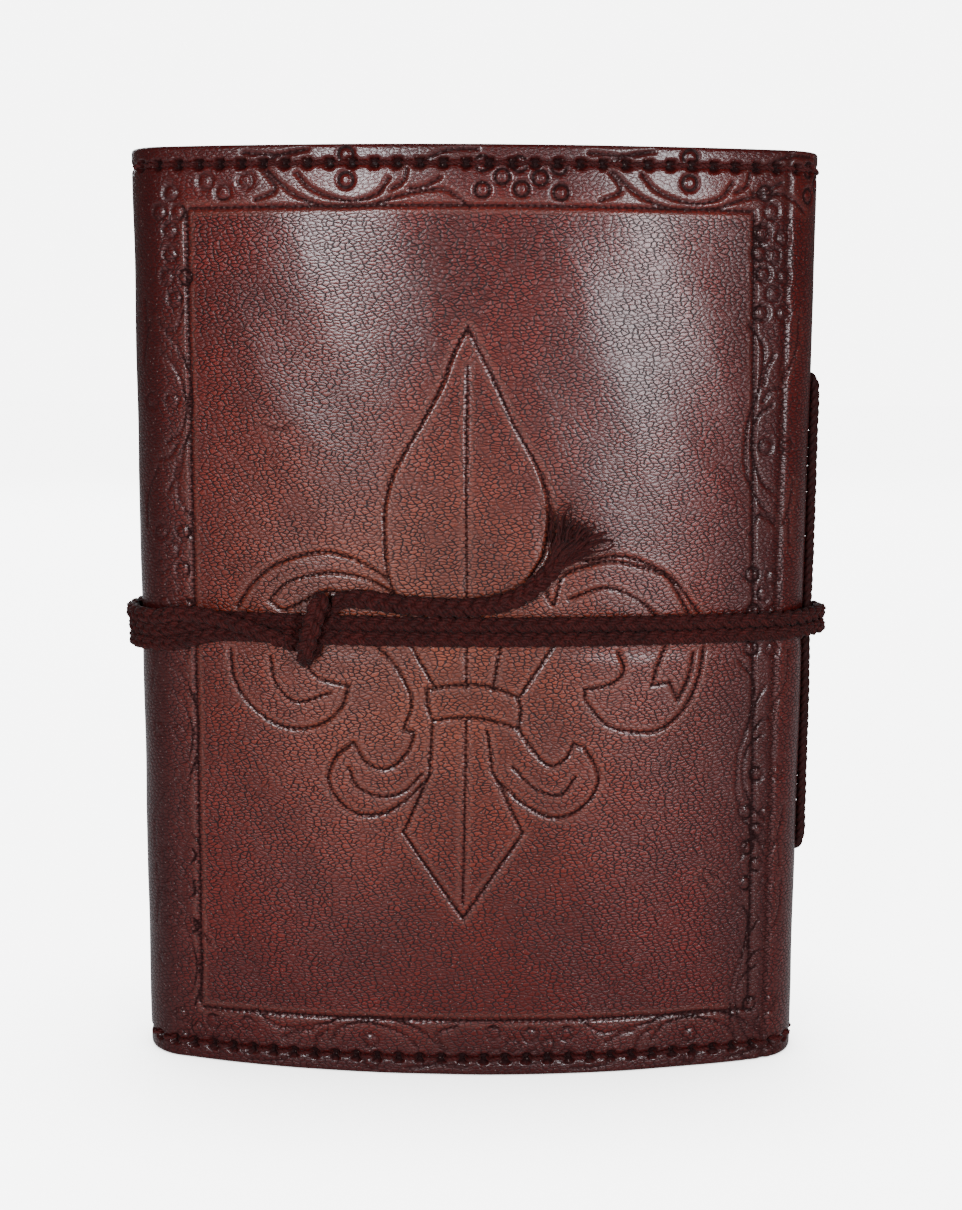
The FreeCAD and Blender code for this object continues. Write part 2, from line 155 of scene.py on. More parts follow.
def grid_object(name, points):
    """A grid of points (rows, columns, 3) as a mesh."""
    rows, cols = points.shape[:2]
    index = np.arange(rows * cols).reshape(rows, cols)
    corners = [index[:-1, :-1], index[:-1, 1:], index[1:, 1:], index[1:, :-1]]
    quads = np.stack(corners, -1).reshape(-1, 4)
    mesh = bpy.data.meshes.new(name)
    mesh.vertices.add(rows * cols)
    mesh.vertices.foreach_set("co", points.reshape(-1).astype(np.float32))
    mesh.loops.add(quads.size)
    mesh.loops.foreach_set("vertex_index", quads.reshape(-1).astype(np.int32))
    mesh.polygons.add(len(quads))
    mesh.polygons.foreach_set("loop_start", np.arange(0, quads.size, 4, dtype=np.int32))
    mesh.polygons.foreach_set("use_smooth", np.ones(len(quads), bool))
    mesh.update(calc_edges=True)
    mesh.validate()
    obj = bpy.data.objects.new(name, mesh)
    bpy.context.scene.collection.objects.link(obj)
    return obj


def add_attribute(obj, name, values):
    values = np.asarray(values, np.float32)
    if values.ndim == 1:
        attribute = obj.data.attributes.new(name, "FLOAT", "POINT")
        attribute.data.foreach_set("value", values)
    else:
        attribute = obj.data.attributes.new(name, "FLOAT_VECTOR", "POINT")
        attribute.data.foreach_set("vector", values.reshape(-1))


# ---------------------------------------------------------------- camera

CAMERA_ASIDE = 1.7 * MM
CAMERA_BACK = 359.1 * MM
CAMERA_UP = 145.9 * MM
CAMERA_DOWN = math.radians(8.78)
CAMERA_ROLL = math.radians(0.33)
cam_data = bpy.data.cameras.new("camera")
cam_data.sensor_fit = "VERTICAL"
cam_data.sensor_height = 36.0
cam_data.lens = 54.4
camera = bpy.data.objects.new("camera", cam_data)
bpy.context.scene.collection.objects.link(camera)
camera.matrix_world = (
    Matrix.Translation((CENTRE_X + CAMERA_ASIDE, -CAMERA_BACK, BOTTOM + CAMERA_UP))
    @ Matrix.Rotation(math.pi / 2 - CAMERA_DOWN, 4, "X")
    @ Matrix.Rotation(CAMERA_ROLL, 4, "Z")
)
bpy.context.scene.camera = camera

# ---------------------------------------------------------------- materials


class Tree:
    """Short ways to add nodes to a material's or world's node tree, and to join them."""

    def __init__(self, owner):
        owner.use_nodes = True
        self.nodes = owner.node_tree.nodes
        self.links = owner.node_tree.links

    def feed(self, socket, value):
        """Joins a socket to another, or sets its number, vector or colour."""
        if isinstance(value, bpy.types.NodeSocket):
            self.links.new(value, socket)
        elif socket.type == "RGBA":
            socket.default_value = (*value, 1)
        else:
            socket.default_value = value

    def add(self, kind, **settings):
        """A node. The settings that start with in_ are its inputs."""
        made = self.nodes.new(kind)
        for key, value in settings.items():
            if key.startswith("in_"):
                self.feed(made.inputs[key[3:].replace("_", " ")], value)
            else:
                setattr(made, key, value)
        return made

    def attribute(self, name, output="Fac"):
        return self.add("ShaderNodeAttribute", attribute_name=name).outputs[output]

    def noise(self, place, scale, detail, roughness=0.5):
        return self.add(
            "ShaderNodeTexNoise",
            in_Vector=place,
            in_Scale=scale,
            in_Detail=detail,
            in_Roughness=roughness,
        )

    def cells(self, place, feature, scale, randomness=1.0):
        return self.add(
            "ShaderNodeTexVoronoi",
            feature=feature,
            voronoi_dimensions="2D",
            in_Vector=place,
            in_Scale=scale,
            in_Randomness=randomness,
        )

    def ramp(self, value, stops):
        """A colour by the value, from stops of (position, grey or colour)."""
        made = self.nodes.new("ShaderNodeValToRGB")
        elements = made.color_ramp.elements
        while len(elements) < len(stops):
            elements.new(0.5)
        for element, (position, colour) in zip(elements, stops):
            element.position = position
            element.color = (*colour, 1) if isinstance(colour, tuple) else (colour,) * 3 + (1,)
        self.links.new(value, made.inputs["Fac"])
        return made.outputs["Color"]

    def mix(self, factor, a, b, blend="MIX"):
        made = self.add("ShaderNodeMix", data_type="RGBA", blend_type=blend)
        for index, value in ((0, factor), (6, a), (7, b)):
            self.feed(made.inputs[index], value)
        return made.outputs[2]

    def maths(self, operation, a, b, c=0.0, clamp=False):
        made = self.add("ShaderNodeMath", operation=operation, use_clamp=clamp)
        for socket, value in zip(made.inputs, (a, b, c)):
            self.feed(socket, value)
        return made.outputs[0]

    def bump(self, height, strength, distance, **normal):
        made = self.add(
            "ShaderNodeBump",
            in_Strength=strength,
            in_Distance=distance,
            in_Height=height,
            **normal,
        )
        return made.outputs["Normal"]


# Base colours of the leather.
RED = (0.098, 0.0064, 0.0042)
TAN = (0.168, 0.034, 0.0145)
# The creases' colour: partly their own dark, partly painted shade.
CREASE = (0.006, 0.0007, 0.0009)
# A painted highlight for the raised lip beside each tooled line.
PAINTED_LIP_HIGHLIGHT = (0.16, 0.055, 0.04)
# Darker edges of the hide, with painted shade towards the bottom and over the spine's rounding.
DARK_EDGE = (0.024, 0.0022, 0.0024)
# Painted shade in the tooled grooves, stitch holes and hinge bend, and the scuffs' own dark.
GROOVE_SHADE_AND_SCUFF = (0.007, 0.001, 0.0012)
DUST = (0.3, 0.22, 0.2)

# How the skin's cells lie: warped, and longer along a slope across the cover.
CELL_WARP = (1.3, 1.3, 0)
CELL_SCALE = (0.76, 1.55, 1)
CELL_SLOPE = math.radians(-18)
CELL_DEPTH = 0.34 * MM
PORE_DEPTH = 0.22 * MM


def leather_material():
    """Oiled red-brown hide, with painted shade in its creases, grooves, stitch holes and hinge
    bend, towards its bottom and over the spine's rounding, and a painted highlight on the lips of
    the tooling. The attribute hide is the place on the unrolled skin in millimetres.
    """
    mat = bpy.data.materials.new("leather")
    t = Tree(mat)
    bsdf = t.nodes["Principled BSDF"]
    hide = t.attribute("hide", "Vector")
    rim, edge, tan, polish = (t.attribute(name) for name in ("rim", "edge", "tan", "polish"))

    # Tooled lines and scuffs are darkened crisply: painted shade along the tooling, the scuffs' own
    # dark. The painted shade in holes and bends is softer.
    crisp = t.ramp(t.attribute("line"), [(0.48, 0), (0.6, 0.4), (0.76, 1)])
    crisp_shade_and_scuffs = t.maths("MULTIPLY", crisp, t.attribute("groove_shade_and_scuffs"))
    groove = t.maths("MAXIMUM", t.attribute("groove"), crisp_shade_and_scuffs)

    warped = t.add("ShaderNodeVectorMath", operation="MULTIPLY_ADD")
    warp = t.noise(hide, 0.35, 3.0).outputs["Color"]
    for socket, value in zip(warped.inputs, (warp, CELL_WARP, hide)):
        t.feed(socket, value)
    skin = t.add(
        "ShaderNodeMapping",
        in_Vector=warped.outputs[0],
        in_Scale=CELL_SCALE,
        in_Rotation=(0, 0, CELL_SLOPE),
    ).outputs[0]
    to_crease = t.cells(skin, "DISTANCE_TO_EDGE", 1.0, 0.85).outputs["Distance"]
    cell_shade = t.cells(skin, "F1", 1.0, 0.85).outputs["Color"]
    crease = t.ramp(to_crease, [(0.0, 1), (0.08, 0.95), (0.18, 0)])
    dome = t.ramp(to_crease, [(0.0, 0), (0.14, 0.7), (0.4, 1)])
    fine = t.noise(hide, 2.6, 6.0, 0.65).outputs["Fac"]
    middle = t.noise(hide, 0.22, 5.0, 0.6).outputs["Fac"]
    broad = t.noise(hide, 0.055, 3.0).outputs["Fac"]

    # The finish is uneven at four scales: blotches, slow drift, single cells and specks.
    base = t.mix(tan, RED, TAN)
    tints = (
        (0.75, middle, [(0.35, (0.72, 0.66, 0.66)), (0.5, 1), (0.66, (1.3, 1.28, 1.25))]),
        (0.7, broad, [(0.38, (0.78, 0.74, 0.76)), (0.6, (1.18, 1.2, 1.15))]),
        (0.6, cell_shade, [(0.0, 0.78), (1.0, 1.22)]),
        (0.7, fine, [(0.3, 0.7), (0.5, 1), (0.72, (1.35, 1.3, 1.3))]),
    )
    for amount, value, stops in tints:
        base = t.mix(amount, base, t.ramp(value, stops), "MULTIPLY")

    # The creases are dark, partly of their own and partly as painted shade. They close up in
    # patches, and where the skin is polished.
    creased = t.maths("MULTIPLY", crease, t.ramp(middle, [(0.34, 0.4), (0.5, 1)]))
    creased = t.maths("MULTIPLY", creased, t.maths("MULTIPLY_ADD", polish, -0.9, 0.97))
    base = t.mix(creased, base, CREASE)
    # A painted highlight on the lip beside each tooled line.
    base = t.mix(rim, base, PAINTED_LIP_HIGHLIGHT)
    # Darker edges, with painted shade towards the bottom and over the spine's rounding.
    ragged = t.maths("MULTIPLY_ADD", middle, 0.5, -0.25)
    darkened = t.maths("MULTIPLY", t.maths("ADD", edge, ragged, clamp=True), 0.85)
    base = t.mix(darkened, base, DARK_EDGE)
    # Painted shade in the tooled grooves, stitch holes and hinge bend, and the scuffs' own dark.
    grooved = t.maths("MULTIPLY", groove, 0.9, clamp=True)
    base = t.mix(grooved, base, GROOVE_SHADE_AND_SCUFF)
    # Pale dust caught in the skin.
    to_fleck = t.cells(hide, "F1", 0.42).outputs["Distance"]
    fleck = t.ramp(to_fleck, [(0.0, 1), (0.04, 0.6), (0.055, 0)])
    base = t.mix(t.maths("MULTIPLY", fleck, 0.45), base, DUST)
    t.feed(bsdf.inputs["Base Color"], base)

    rough = t.maths("MULTIPLY_ADD", fine, 0.3, 0.14)
    changes = (("ADD", crease, 0.2), ("ADD", groove, 0.55), ("SUBTRACT", polish, 0.12))
    for operation, value, amount in changes:
        rough = t.maths(operation, rough, t.maths("MULTIPLY", value, amount), clamp=True)
    t.feed(bsdf.inputs["Roughness"], rough)
    bsdf.inputs["Specular IOR Level"].default_value = 0.17
    # The wax coat lies on the raised skin, and is thin in the creases and grooves.
    coat = t.maths("MULTIPLY_ADD", creased, -0.3, 0.38)
    coat = t.maths("SUBTRACT", coat, t.maths("MULTIPLY", grooved, 0.4), clamp=True)
    t.feed(bsdf.inputs["Coat Weight"], coat)
    bsdf.inputs["Coat Roughness"].default_value = 0.21

    relief = t.bump(dome, t.maths("MULTIPLY_ADD", polish, -0.15, 0.3), CELL_DEPTH)
    relief = t.bump(fine, 0.28, PORE_DEPTH, in_Normal=relief)
    t.feed(bsdf.inputs["Normal"], relief)
    coat_relief = t.bump(dome, 0.07, CELL_DEPTH)
    coat_relief = t.bump(fine, 0.05, PORE_DEPTH, in_Normal=coat_relief)
    t.feed(bsdf.inputs["Coat Normal"], coat_relief)
    return mat


def fibre_material(name, light, dark, scale, roughness=0.7, bump=0.3, sheen=0.03):
    """Spun or felted fibre: fine noise in colour and relief, over the object's own metres."""
    mat = bpy.data.materials.new(name)
    t = Tree(mat)
    bsdf = t.nodes["Principled BSDF"]
    place = t.add("ShaderNodeTexCoord").outputs["Object"]
    fine = t.noise(place, scale, 6.0, 0.7).outputs["Fac"]
    wide = t.noise(place, scale / 12, 3.0).outputs["Fac"]
    shade = t.ramp(fine, [(0.32, dark), (0.68, light)])
    drift = t.ramp(wide, [(0.3, 0.7), (0.7, 1.25)])
    t.feed(bsdf.inputs["Base Color"], t.mix(0.8, shade, drift, "MULTIPLY"))
    bsdf.inputs["Roughness"].default_value = roughness
    bsdf.inputs["Specular IOR Level"].default_value = 0.14
    bsdf.inputs["Sheen Weight"].default_value = sheen
    t.feed(bsdf.inputs["Normal"], t.bump(fine, bump, 0.2 * MM))
    return mat


# Light and dark fibre, noise scale, roughness, relief and sheen.
FIBRES = {
    "lining": ((0.16, 0.075, 0.045), (0.09, 0.04, 0.025), 900, 0.85, 0.5),
    "stitching_thread": ((0.06, 0.0055, 0.0048), (0.015, 0.0013, 0.0012), 2600, 0.6),
    "paper": ((0.72, 0.64, 0.5), (0.55, 0.46, 0.33), 700, 0.9, 0.35, 0.0),
    "sewing_thread": ((0.6, 0.55, 0.44), (0.36, 0.32, 0.25), 2600, 0.6),
    "binding_cord": ((0.030, 0.0024, 0.0018), (0.005, 0.0004, 0.0003), 2600, 0.7),
    "tie_cord": ((0.058, 0.0054, 0.0042), (0.0030, 0.0002, 0.0002), 2000, 0.65, 0.6),
}
MATERIALS = {"leather": leather_material()}
MATERIALS.update({name: fibre_material(name, *values) for name, values in FIBRES.items()})


def dress(obj, slot_name):
    obj.data.materials.clear()
    obj.data.materials.append(MATERIALS[slot_name])


# ---------------------------------------------------------------- tooling of the covers

# The emblem on the front as (x, z) about the cover's middle and its lower edge.
PETALS = [
    [(-1, 145), (-3.5, 140.5), (-6, 134), (-10, 126.5), (-13.5, 120.5), (-15.5, 116)]
    + [(-16.5, 111), (-16.5, 106.5), (-16, 99.5), (-14, 94)],
    [(-1, 145), (1.5, 140), (5, 133), (8, 126.5), (11.5, 120.5), (13.5, 116)]
    + [(14.5, 111), (14, 105.5), (13, 102), (10.5, 98)],
]
SPINES = [
    [(-1, 138), (-1.2, 120), (-1, 98), (-1, 77.5)],
    [(-1, 71), (-1.2, 54), (-1.5, 35)],
]
EMBLEM = [
    [(-45, 92), (-41.5, 97), (-36, 101), (-28, 103), (-21.5, 101.5), (-15.5, 98)],
    [(-38.5, 93.5), (-35, 97), (-28, 99), (-21.5, 98.5), (-16.5, 96.5), (-14, 94)],
    [(-38.5, 93.5), (-36, 91.8), (-32, 93.5), (-28, 95.5), (-24, 95), (-20, 93.5)],
    [(-46.5, 83.5), (-45.5, 77.5), (-42, 72.5), (-36, 69), (-29.5, 69.5), (-25, 73)]
    + [(-23.5, 77.5)],
    [(-23.5, 77.5), (-28.5, 78.5), (-31, 80.5), (-31, 83.5)],
    [(-38.5, 82.5), (-37.5, 77.5), (-33.5, 74), (-27, 76)],
    [(-18.5, 85.5), (-14.5, 81.5), (-11.5, 75), (-13, 69)],
    [(-11.5, 85.5), (-7, 77.5)],
    [(21, 101.5), (27, 102.5), (32, 101.5), (37.5, 98.5), (41, 94.5), (44, 90.5)],
    [(14, 95.5), (15.5, 93.5), (17, 98.5), (21, 100.5), (27, 101.5), (36, 99), (39, 95.5)]
    + [(41.5, 91)],
    [(18.5, 94.5), (24.5, 96.5), (29, 95.5), (33, 93), (35.5, 90.5)],
    [(44.5, 84.5), (43.5, 78.5), (41, 73), (36.5, 69), (31.5, 68.5), (26, 70), (22, 74.5)]
    + [(21.5, 77)],
    [(21.5, 77), (26.5, 78), (29, 80.5), (28, 84)],
    [(37, 85), (35.2, 80.5), (34.5, 77.5)],
    [(34.5, 77.5), (38, 78)],
    [(38, 78), (39.5, 74.5)],
    [(39.5, 74.5), (41.6, 79), (42.5, 83.5)],
    [(5.5, 85.5), (4, 77)],
    [(15.5, 85.5), (9, 75.5)],
    [(-8.5, 77), (-4, 77.8), (1, 78), (5, 77.2), (9, 75.5)],
    [(-7.5, 71), (-3, 71.6), (1, 71.6), (5, 70.8), (9, 69.5)],
    [(-8.5, 77), (-8.4, 74), (-7.5, 71)],
    [(9, 75.5), (9.4, 72.5), (9, 69.5)],
    [(3, 69), (3.6, 65), (4, 61.5)],
    [(4, 61.5), (10, 49)],
    [(10, 49), (4.6, 41), (-1.5, 32)],
    [(-7.5, 70), (-8, 60.5)],
    [(-8, 60.5), (-13, 49)],
    [(-13, 49), (-7.6, 41), (-1.5, 32)],
    [(-22.5, 66.5), (-26, 63.5), (-27.5, 59), (-25.5, 55), (-22, 52.5), (-17.5, 52.5), (-13, 55)]
    + [(-8.5, 59.5)],
    [(-13, 69), (-11, 68.5), (-12.5, 64.5), (-16, 61.5), (-20, 62.5), (-22.5, 66.5)],
    [(-23.5, 61.5), (-22, 58), (-17.5, 56), (-13, 57), (-9.5, 60.5)],
    [(9, 69.5), (12, 65), (15, 62.3), (18, 63.5), (19.5, 66.5)],
    [(19.5, 66.5), (22, 65), (24.5, 59.5), (22, 54.5), (16.5, 52), (10.5, 54.5), (5, 59.5)],
    [(8, 62), (12, 58), (17, 56.5), (20, 60)],
]
BORDER_LINE = [
    [(-53.6, 12), (-53.4, 60), (-53.6, 110), (-53.6, 166)],
    [(55.4, 12), (55.0, 60), (53.6, 110), (52.2, 166)],
    [(-53, 166.6), (0, 167), (52, 166.6)],
    [(-53, 11), (0, 11.3), (55, 11)],
]
# Dark scuffs in the finish.
SCUFFS = [
    [(-39.5, 126.9), (-36.5, 126.1), (-33.5, 127.2)],
    [(-38, 125.9), (-35, 126.0)],
    [(-52.6, 26), (-51.4, 24)],
    [(44.5, 39.5), (47, 36.5)],
    [(45.5, 41), (48.5, 38.6)],
    [(-38, 60), (-36.5, 59.2)],
]
# One repeat of the border: u along the edge, v in from it.
MOTIF = [
    [(-9.2, 5.2), (-6.2, 8.1), (0, 10.2), (5.4, 9.2), (7.9, 6.2)],
    [(-14.4, 4.8), (-11.9, 7.3), (-8.5, 9.6), (-3.3, 11.2), (4.4, 11.0), (10.2, 9.2), (17, 8.1)]
    + [(19.8, 9.0), (22.7, 11.3)],
    [(11.2, 4.4), (10.6, 6.6), (8.5, 8.1)],
    [(11.7, 8.1), (14.5, 7.6), (17.3, 6.0)],
    [(-16.9, 10), (-13.1, 8.1), (-15.2, 4.8)],
    [(-19, 1.5), (-12.7, 1.9), (-8.5, 1.3)],
    [(-14.8, 2.9), (-11, 1.6), (-7.1, 1.0)],
    [(12.7, 4.0), (18.3, 1.3), (24.2, 1.0)],
]
MOTIF_RINGS = [(0, 6.5), (0, 1.9), (25, 3.5), (25, 8.2), (28.6, 5.8), (31.8, 3.6)]
MOTIF_RINGS += [(32.2, 8.0), (35.6, 6.0), (39, 4), (39.4, 8.6)]
CORNER_RINGS = [(-57.5, 169.5), (-50.5, 171.5), (-47, 169.5), (-42.5, 171.5), (-60, 166)]
CORNER_RINGS += [(-56.1, 166), (-57.8, 162.6), (-57.8, 158.3), (-58.5, 154), (-54.8, 154)]
CORNER_RINGS += [(-57, 150), (55, 170), (56.4, 166.7), (54.6, 163), (54, 159)]
# The border's repeats: middles along the upper and lower edges, and up the sides with the depth on
# the left and on the right. The tooling is clearest at the top, and worn elsewhere.
EDGE_MIDDLES = (-23.5, 40.0)
SIDE_MIDDLES = ((131.0, 0.6, 1.0), (67.0, 0.3, 0.7), (20.0, 0.3, 0.55))
TOP_STROKE, TOP_RING, BOTTOM_DEPTH, CORNER_DEPTH = 1.5, 1.4, 0.8, 0.9
# Where v starts on each edge, and how far the lower and the right repeats are moved along.
BOTTOM_EDGE, LEFT_EDGE, RIGHT_EDGE = 0.2, -64.5, 63.0
BOTTOM_MOVED, RIGHT_MOVED = 4, -8
# The lip beside a cut: how far from its side, how wide, and how high against the cut's depth.
LIP_AWAY, LIP_WIDTH, LIP_SHARE = 0.6, 0.45, 0.2
# The reach of a line's nearness, and the rings' radius, line width and raised middle.
LINE_REACH = 0.8
RING_RADIUS, RING_LINE, RING_BOSS = 1.35, 0.42, 0.9
# How far from a curve the grid is searched, and how many of its points at once.
SEARCH_REACH = 3.2
CURVE_CHUNK = 12


def on_top(middle, u, v):
    return middle + u, HEIGHT - v


def on_bottom(middle, u, v):
    return middle - u + BOTTOM_MOVED, BOTTOM_EDGE + v


def on_left(middle, u, v):
    return LEFT_EDGE + v, middle - u


def on_right(middle, u, v):
    return RIGHT_EDGE - v, middle + RIGHT_MOVED + u


def border_sets():
    """The border's strokes and rings as (s, z) with a depth for each edge of the cover."""
    repeats = []
    for middle in EDGE_MIDDLES:
        pair = ((on_top, TOP_STROKE, TOP_RING), (on_bottom, BOTTOM_DEPTH, BOTTOM_DEPTH))
        repeats.append((middle, pair))
    for middle, left, right in SIDE_MIDDLES:
        repeats.append((middle, ((on_left, left, left), (on_right, right, right))))
    strokes, rings = [], []
    for middle, pair in repeats:
        for line in MOTIF:
            for edge, depth, _ in pair:
                strokes.append(([edge(middle, u, v) for u, v in line], depth))
        for edge, _, depth in pair:
            rings += [(*edge(middle, u, v), depth) for u, v in MOTIF_RINGS]
    rings += [(u, z, CORNER_DEPTH) for u, z in CORNER_RINGS]
    return strokes, rings


def near_curve(s, z, curve, reach):
    """The distance from each grid point to a sampled curve, infinite beyond reach."""
    best = np.full(s.shape, np.inf, np.float32)
    for i in range(0, len(curve), CURVE_CHUNK):
        piece = curve[i : i + CURVE_CHUNK + 1]
        lo = piece.min(0) - reach
        hi = piece.max(0) + reach
        cols = np.where((s[0] >= lo[0]) & (s[0] <= hi[0]))[0]
        rows = np.where((z[:, 0] >= lo[1]) & (z[:, 0] <= hi[1]))[0]
        if not len(cols) or not len(rows):
            continue
        window = np.ix_(rows, cols)
        ds = s[window][..., None] - piece[:, 0]
        dz = z[window][..., None] - piece[:, 1]
        best[window] = np.minimum(best[window], np.sqrt((ds**2 + dz**2).min(-1)))
    return best


def tooled_relief(s, z, emblem):
    """Height in millimetres, nearness to a tooled line, how dark it is drawn (painted shade along
    the tooling, the own dark of scuffs), and a painted highlight on the lip beside it.
    """
    height, near, groove_shade_and_scuffs, rim = (np.zeros(s.shape, np.float32) for _ in range(4))
    strokes, rings = border_sets()
    # Each line with its half width, depth, and darkness: painted shade for the tooling, the own
    # dark for scuffs.
    jobs = [(line, 0.38, 0.34 * deep, 0.85 if deep > 1 else 0.65 * deep) for line, deep in strokes]
    jobs += [(line, 0.45, 0.42, 0.95) for line in BORDER_LINE]
    if emblem:
        jobs += [(line, 0.3, 0.02, 0.5) for line in SCUFFS]
        jobs += [(line, 0.38, 0.52, 1.0) for line in PETALS]
        jobs += [(line, 0.35, 0.34, 0.9) for line in SPINES]
        jobs += [(line, 0.35, 0.42, 1.0) for line in EMBLEM]
    for line, half, depth, dark in jobs:
        d = near_curve(s, z, smooth(unrolled(line)), SEARCH_REACH)
        cut = np.exp(-((d / half) ** 2))
        lip = np.exp(-(((d - half - LIP_AWAY) / LIP_WIDTH) ** 2))
        height = np.minimum(height, -depth * cut) + LIP_SHARE * depth * lip
        near = np.maximum(near, np.clip(1 - d / LINE_REACH, 0, 1))
        # Painted shade along the line (for scuffs, their own dark), and a painted highlight on the
        # lip beside it.
        groove_shade_and_scuffs = np.maximum(groove_shade_and_scuffs, np.where(d < 2 * LINE_REACH, dark, 0))
        rim = np.maximum(rim, 0.3 * dark * lip)
    for u, v, depth in rings:
        d = np.abs(near_curve(s, z, np.array([[u, v]]), SEARCH_REACH) - RING_RADIUS)
        # Painted shade along each ring's line.
        dark = (0.7 if depth > 1 else 0.45) * depth
        height -= 0.26 * depth * np.exp(-((d / RING_LINE) ** 2))
        height += 0.2 * depth * (np.hypot(s - u, z - v) < RING_BOSS)
        near = np.maximum(near, np.clip(1 - d / LINE_REACH, 0, 1))
        groove_shade_and_scuffs = np.maximum(groove_shade_and_scuffs, np.where(d < LINE_REACH, dark, 0))
    return height, near, groove_shade_and_scuffs, rim * (1 - near)


# Soft mounds of the emblem's petals and curls: s, z, their reach in each, and their height.
MOUNDS = (
    (-8, 112, 5.5, 18, 0.45),
    (6.5, 112, 5.5, 18, 0.45),
    (-32, 97, 10, 4, 0.3),
    (30, 96, 10, 4, 0.3),
    (-36, 77, 6, 5, 0.3),
    (33, 75, 7, 5, 0.3),
    (-2, 49, 6, 12, 0.35),
    (-18, 58, 6, 4, 0.3),
    (15, 58, 6, 4, 0.3),
)


def mounds(s, z):
    height = np.zeros(s.shape, np.float32)
    for ms, mz, ws, wz, up in MOUNDS:
        height += up * np.exp(-(((s - ms) / ws) ** 2) - ((z - mz) / wz) ** 2)
    return height


# ---------------------------------------------------------------- leather and lining

# The hide's rounded edge: distance in from the edge, and depth below the face.
EDGE_START = 0.8
EDGE_TURN = [(2.5, LEATHER), (0.35, LEATHER), (0.08, 1.4), (0.0, 1.1), (0.0, 0.7)]
EDGE_TURN += [(0.08, 0.38), (0.26, 0.15), (0.5, 0.04)]
# The relief is kept between these heights, and a stitch hole goes down to this depth.
LOWEST, HIGHEST = -0.9, 0.05
HOLE_DEPTH = 1.5
HOLE_SLOPE = 0.36
ROW_HALF, ROW_DEPTH = 0.62, 0.3
BACK_SKIN_OFFSET = 300


def edge_list(first, last, step, closed_last=True):
    """Positions and depths along a sheet whose ends are rounded and turned inwards. An open last
    end is cut square, for a seam."""
    n = int(round((last - first - 2 * EDGE_START) / step))
    inner = np.linspace(first + EDGE_START, last - EDGE_START if closed_last else last, n + 1)
    place = [first + p for p, _ in EDGE_TURN] + list(inner)
    depth = [d for _, d in EDGE_TURN] + [0.0] * len(inner)
    if closed_last:
        place += [last - p for p, _ in reversed(EDGE_TURN)]
        depth += [d for _, d in reversed(EDGE_TURN)]
    return np.array(place), np.array(depth)


def stitch_places(first, last):
    count = int((last - first) / STITCH_PITCH)
    start = (first + last - count * STITCH_PITCH) / 2
    return [start + i * STITCH_PITCH for i in range(count + 1)]


STITCHES = stitch_places(FORE_EDGE + 2.0, SIDE_HALF - 1.5)
STITCHES += stitch_places(SIDE_HALF + 1.4, SIDE_HALF + 2 * ROUND_END - 1.4)
STITCH_LEVELS = (STITCH_INSET, HEIGHT - STITCH_INSET)


BORDER_LOW = 165.5


def worn_and_shaded(s, z, depth):
    """How dark the hide is along its edges, at its turned edge, towards the bottom and over the
    spine's rounding, how tan its middle, and how polished the raised border. The darkening towards
    the bottom and over the rounding is painted shade.
    """
    edge = np.maximum.reduce([
        np.clip(1.25 - (z - 1) / 9, 0, 1) * 0.9,
        np.clip(1.15 - (HEIGHT - z - 1) / 10, 0, 1) * 0.75,
        np.clip(1.35 - (s + 66) / 11, 0, 1),
        np.clip(1.55 - (SIDE_HALF - s + 1) / 10, 0, 1) * (s < SIDE_HALF) * 0.85,
        # Painted shade: darker towards the bottom and over the spine's rounding.
        np.clip(0.42 - z / 110, 0, 1),
        (s >= SIDE_HALF) * 0.55,
        # The turned edge of the hide, dark of its own.
        (depth > 0.5) * 1.0,
    ])
    tan = np.exp(-(((s + 14) / 34) ** 2) - ((z - 88) / 42) ** 2) * 0.9
    tan = np.clip(tan + 0.25 * np.exp(-(((s - 25) / 30) ** 2) - ((z - 75) / 30) ** 2), 0, 1)
    polish = np.zeros(s.shape)
    for middle in EDGE_MIDDLES:
        away = ((s - middle) / 9.5) ** 2 + ((HEIGHT - z - 3.5) / 6.5) ** 2
        polish = np.maximum(polish, np.clip(4 - 4 * away, 0, 1))
    polish = np.maximum(polish, np.clip((z - BORDER_LOW) * 2, 0, 1) * 0.45)
    return {"edge": edge, "tan": tan, "polish": polish}


